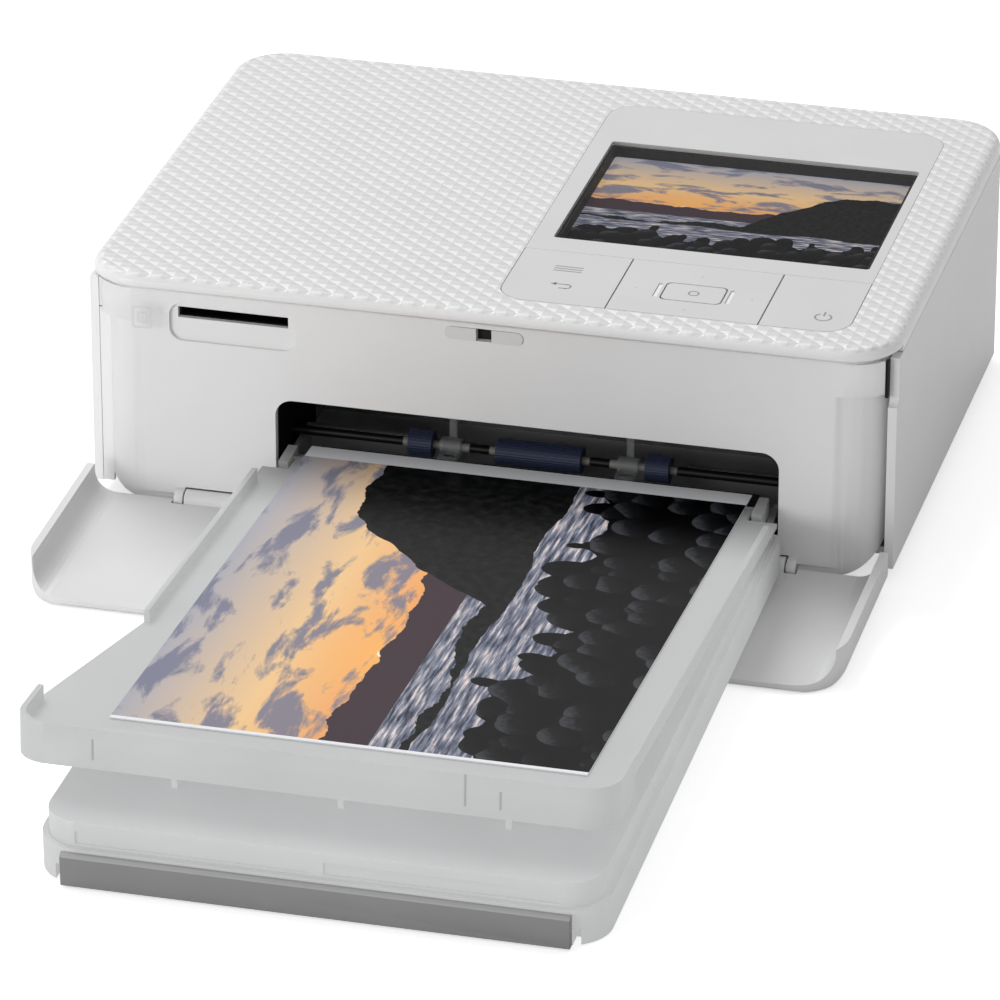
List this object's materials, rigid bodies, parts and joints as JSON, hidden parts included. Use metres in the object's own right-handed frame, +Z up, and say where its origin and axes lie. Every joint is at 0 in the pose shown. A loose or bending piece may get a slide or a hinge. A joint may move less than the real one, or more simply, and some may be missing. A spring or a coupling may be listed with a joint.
{
  "type": "compact photo printer",
  "caption": "White desktop photo printer with a colour screen, an open front door and a translucent paper cassette holding a fresh print.",
  "frame": {"origin": "centre of the bounding box of the whole open printer, on the surface it stands on", "axes": "+Z up, -Y towards the front where the paper comes out, +X to the right as seen from the front"},
  "size_m": [0.1822, 0.3028, 0.0576],
  "materials": {
    "case_plastic": "satin white moulded housing",
    "panel_plastic": "smooth white control sheet",
    "rubber_dark": "dark rubber",
    "steel": "plain steel",
    "black_plastic": "black moulding",
    "catch_plastic": "pale grey catch",
    "display_glass": "clear flush window",
    "circuit_board": "green coated board",
    "ivory_plastic": "moulded gear plastic",
    "navy_rubber": "dark blue roller rubber",
    "clear_plastic": "smoky translucent",
    "brass": "plain",
    "dye_ribbon": "thin dye film",
    "grey_plastic": "satin mid grey",
    "photo_paper": "glossy coated card"
  },
  "bodies": {
    "casing": {"top_cover": "case_plastic", "front_case": "case_plastic", "left_side_panel": "case_plastic", "rear_panel": "case_plastic", "base_pan": "case_plastic", "rubber_feet": "rubber_dark", "base_screws": "steel", "front_door_pins": "steel", "latch_catch": "catch_plastic", "card_socket": "black_plastic", "ribbon_door_pin": "steel", "control_bezel": "panel_plastic", "display_glass": "display_glass", "display_module": "black_plastic", "panel_board": "circuit_board", "paper_tunnel": "black_plastic", "chassis_plates": "steel", "shaft_bushes": "ivory_plastic", "exit_guides": "clear_plastic", "idler_post": "steel", "thermal_head": "steel", "feed_motor": "steel", "ribbon_cassette": "black_plastic", "ribbon_film": "dye_ribbon", "main_board": "circuit_board", "connector_board": "circuit_board", "fan_frame": "black_plastic"},
    "front_door": {"front_door": "case_plastic"},
    "ribbon_door": {"ribbon_door": "case_plastic"},
    "cassette": {"cassette_tray": "clear_plastic", "cassette_front_bar": "grey_plastic"},
    "lift": {"lift_plate": "steel", "paper_stack": "photo_paper"},
    "lid": {"cassette_lid": "clear_plastic"},
    "output": {"output_tray": "clear_plastic", "printed_sheet": "photo_paper"},
    "menu_key": {"menu_key": "panel_plastic"},
    "pad_carrier": {"pad_carrier": "ivory_plastic"},
    "direction_pad": {"direction_pad": "panel_plastic"},
    "ok_key": {"ok_key": "panel_plastic"},
    "power_key": {"power_key": "panel_plastic"},
    "feed": {"feed_shaft": "steel", "feed_rollers": "navy_rubber", "feed_gear": "ivory_plastic"},
    "idler": {"idler_gear": "ivory_plastic"},
    "capstan": {"capstan_roller": "steel", "capstan_gear": "ivory_plastic"},
    "motor": {"motor_pinion": "brass"},
    "pinch": {"pinch_roller": "rubber_dark"},
    "platen": {"platen_roller": "rubber_dark"},
    "supply": {"supply_spool": "dye_ribbon"},
    "take_up": {"take_up_spool": "dye_ribbon"},
    "fan": {"fan_rotor": "black_plastic"}
  },
  "joints": [
    {"name": "front_door_hinge", "type": "hinge", "parent": "casing", "child": "front_door", "pos_m": [0, 0.02017, 0.0034], "axis": [-1, 0, 0], "range_deg": [0, 1.5]},
    {"name": "ribbon_door_hinge", "type": "hinge", "parent": "casing", "child": "ribbon_door", "pos_m": [0.0899, 0.14112, 0.028], "axis": [0, 0, 1], "range_deg": [0, 90]},
    {"name": "cassette_slide", "type": "slide", "parent": "casing", "child": "cassette", "axis": [0, -1, 0], "range_m": [0, 0.03]},
    {"name": "lift_hinge", "type": "hinge", "parent": "cassette", "child": "lift", "pos_m": [0.0093, -0.14062, 0.00315], "axis": [1, 0, 0], "range_deg": [-0.6, 0], "stiffness_Nm_per_rad": 1, "springref_deg": 11.46},
    {"name": "lid_hinge", "type": "hinge", "parent": "cassette", "child": "lid", "pos_m": [0.0093, 0.02765, 0.01243], "axis": [-1, 0, 0], "range_deg": [0, 30]},
    {"name": "output_hinge", "type": "hinge", "parent": "lid", "child": "output", "pos_m": [0.0093, 0.0194, 0.01674], "axis": [-1, 0, 0], "range_deg": [0, 20]},
    {"name": "menu_key_press", "type": "hinge", "parent": "casing", "child": "menu_key", "pos_m": [0.013, 0.05427, 0.0564], "axis": [1, 0, 0], "range_deg": [0, 1.2], "stiffness_Nm_per_rad": 0.5, "springref_deg": -0.57},
    {"name": "power_key_press", "type": "hinge", "parent": "casing", "child": "power_key", "pos_m": [0.0695, 0.05427, 0.0564], "axis": [1, 0, 0], "range_deg": [0, 1.2], "stiffness_Nm_per_rad": 0.5, "springref_deg": -0.57},
    {"name": "pad_tilt_up_down", "type": "hinge", "parent": "casing", "child": "pad_carrier", "pos_m": [0.0425, 0.03947, 0.054], "axis": [1, 0, 0], "range_deg": [-1.2, 1.2], "stiffness_Nm_per_rad": 0.5},
    {"name": "pad_tilt_left_right", "type": "hinge", "parent": "pad_carrier", "child": "direction_pad", "pos_m": [0.0425, 0.03947, 0.0554], "axis": [0, 1, 0], "range_deg": [-1.2, 1.2], "stiffness_Nm_per_rad": 0.5},
    {"name": "ok_key_press", "type": "slide", "parent": "casing", "child": "ok_key", "axis": [0, 0, -1], "range_m": [0, 0.0005], "stiffness_N_per_m": 1500, "springref_m": -0.0002},
    {"name": "capstan_spin", "type": "hinge", "parent": "casing", "child": "capstan", "pos_m": [0.0093, 0.06237, 0.0158], "axis": [1, 0, 0], "continuous": true},
    {"name": "feed_spin", "type": "hinge", "parent": "casing", "child": "feed", "pos_m": [0.0093, 0.03437, 0.0167], "axis": [1, 0, 0], "continuous": true},
    {"name": "idler_spin", "type": "hinge", "parent": "casing", "child": "idler", "pos_m": [-0.054, 0.04786, 0.01961], "axis": [1, 0, 0], "continuous": true},
    {"name": "motor_spin", "type": "hinge", "parent": "casing", "child": "motor", "pos_m": [-0.054, 0.06609, 0.02971], "axis": [1, 0, 0], "continuous": true},
    {"name": "pinch_spin", "type": "hinge", "parent": "casing", "child": "pinch", "pos_m": [0.0093, 0.06237, 0.0219], "axis": [1, 0, 0], "continuous": true},
    {"name": "platen_spin", "type": "hinge", "parent": "casing", "child": "platen", "pos_m": [0.0093, 0.08437, 0.0133], "axis": [1, 0, 0], "continuous": true},
    {"name": "supply_spin", "type": "hinge", "parent": "casing", "child": "supply", "pos_m": [0.0093, 0.10087, 0.033], "axis": [1, 0, 0], "continuous": true},
    {"name": "take_up_spin", "type": "hinge", "parent": "casing", "child": "take_up", "pos_m": [0.0093, 0.06787, 0.033], "axis": [1, 0, 0], "continuous": true},
    {"name": "fan_spin", "type": "hinge", "parent": "casing", "child": "fan", "pos_m": [0.0093, 0.14437, 0.0368], "axis": [0, 1, 0], "continuous": true}
  ],
  "couplings": [
    {"joint": "feed_spin", "follows": "capstan_spin", "ratio": 1.1333},
    {"joint": "idler_spin", "follows": "capstan_spin", "ratio": -2.125},
    {"joint": "motor_spin", "follows": "capstan_spin", "ratio": -2.4286},
    {"joint": "pinch_spin", "follows": "capstan_spin", "ratio": -0.83333},
    {"joint": "platen_spin", "follows": "capstan_spin", "ratio": 0.5},
    {"joint": "take_up_spin", "follows": "supply_spin", "ratio": 1.44}
  ]
}
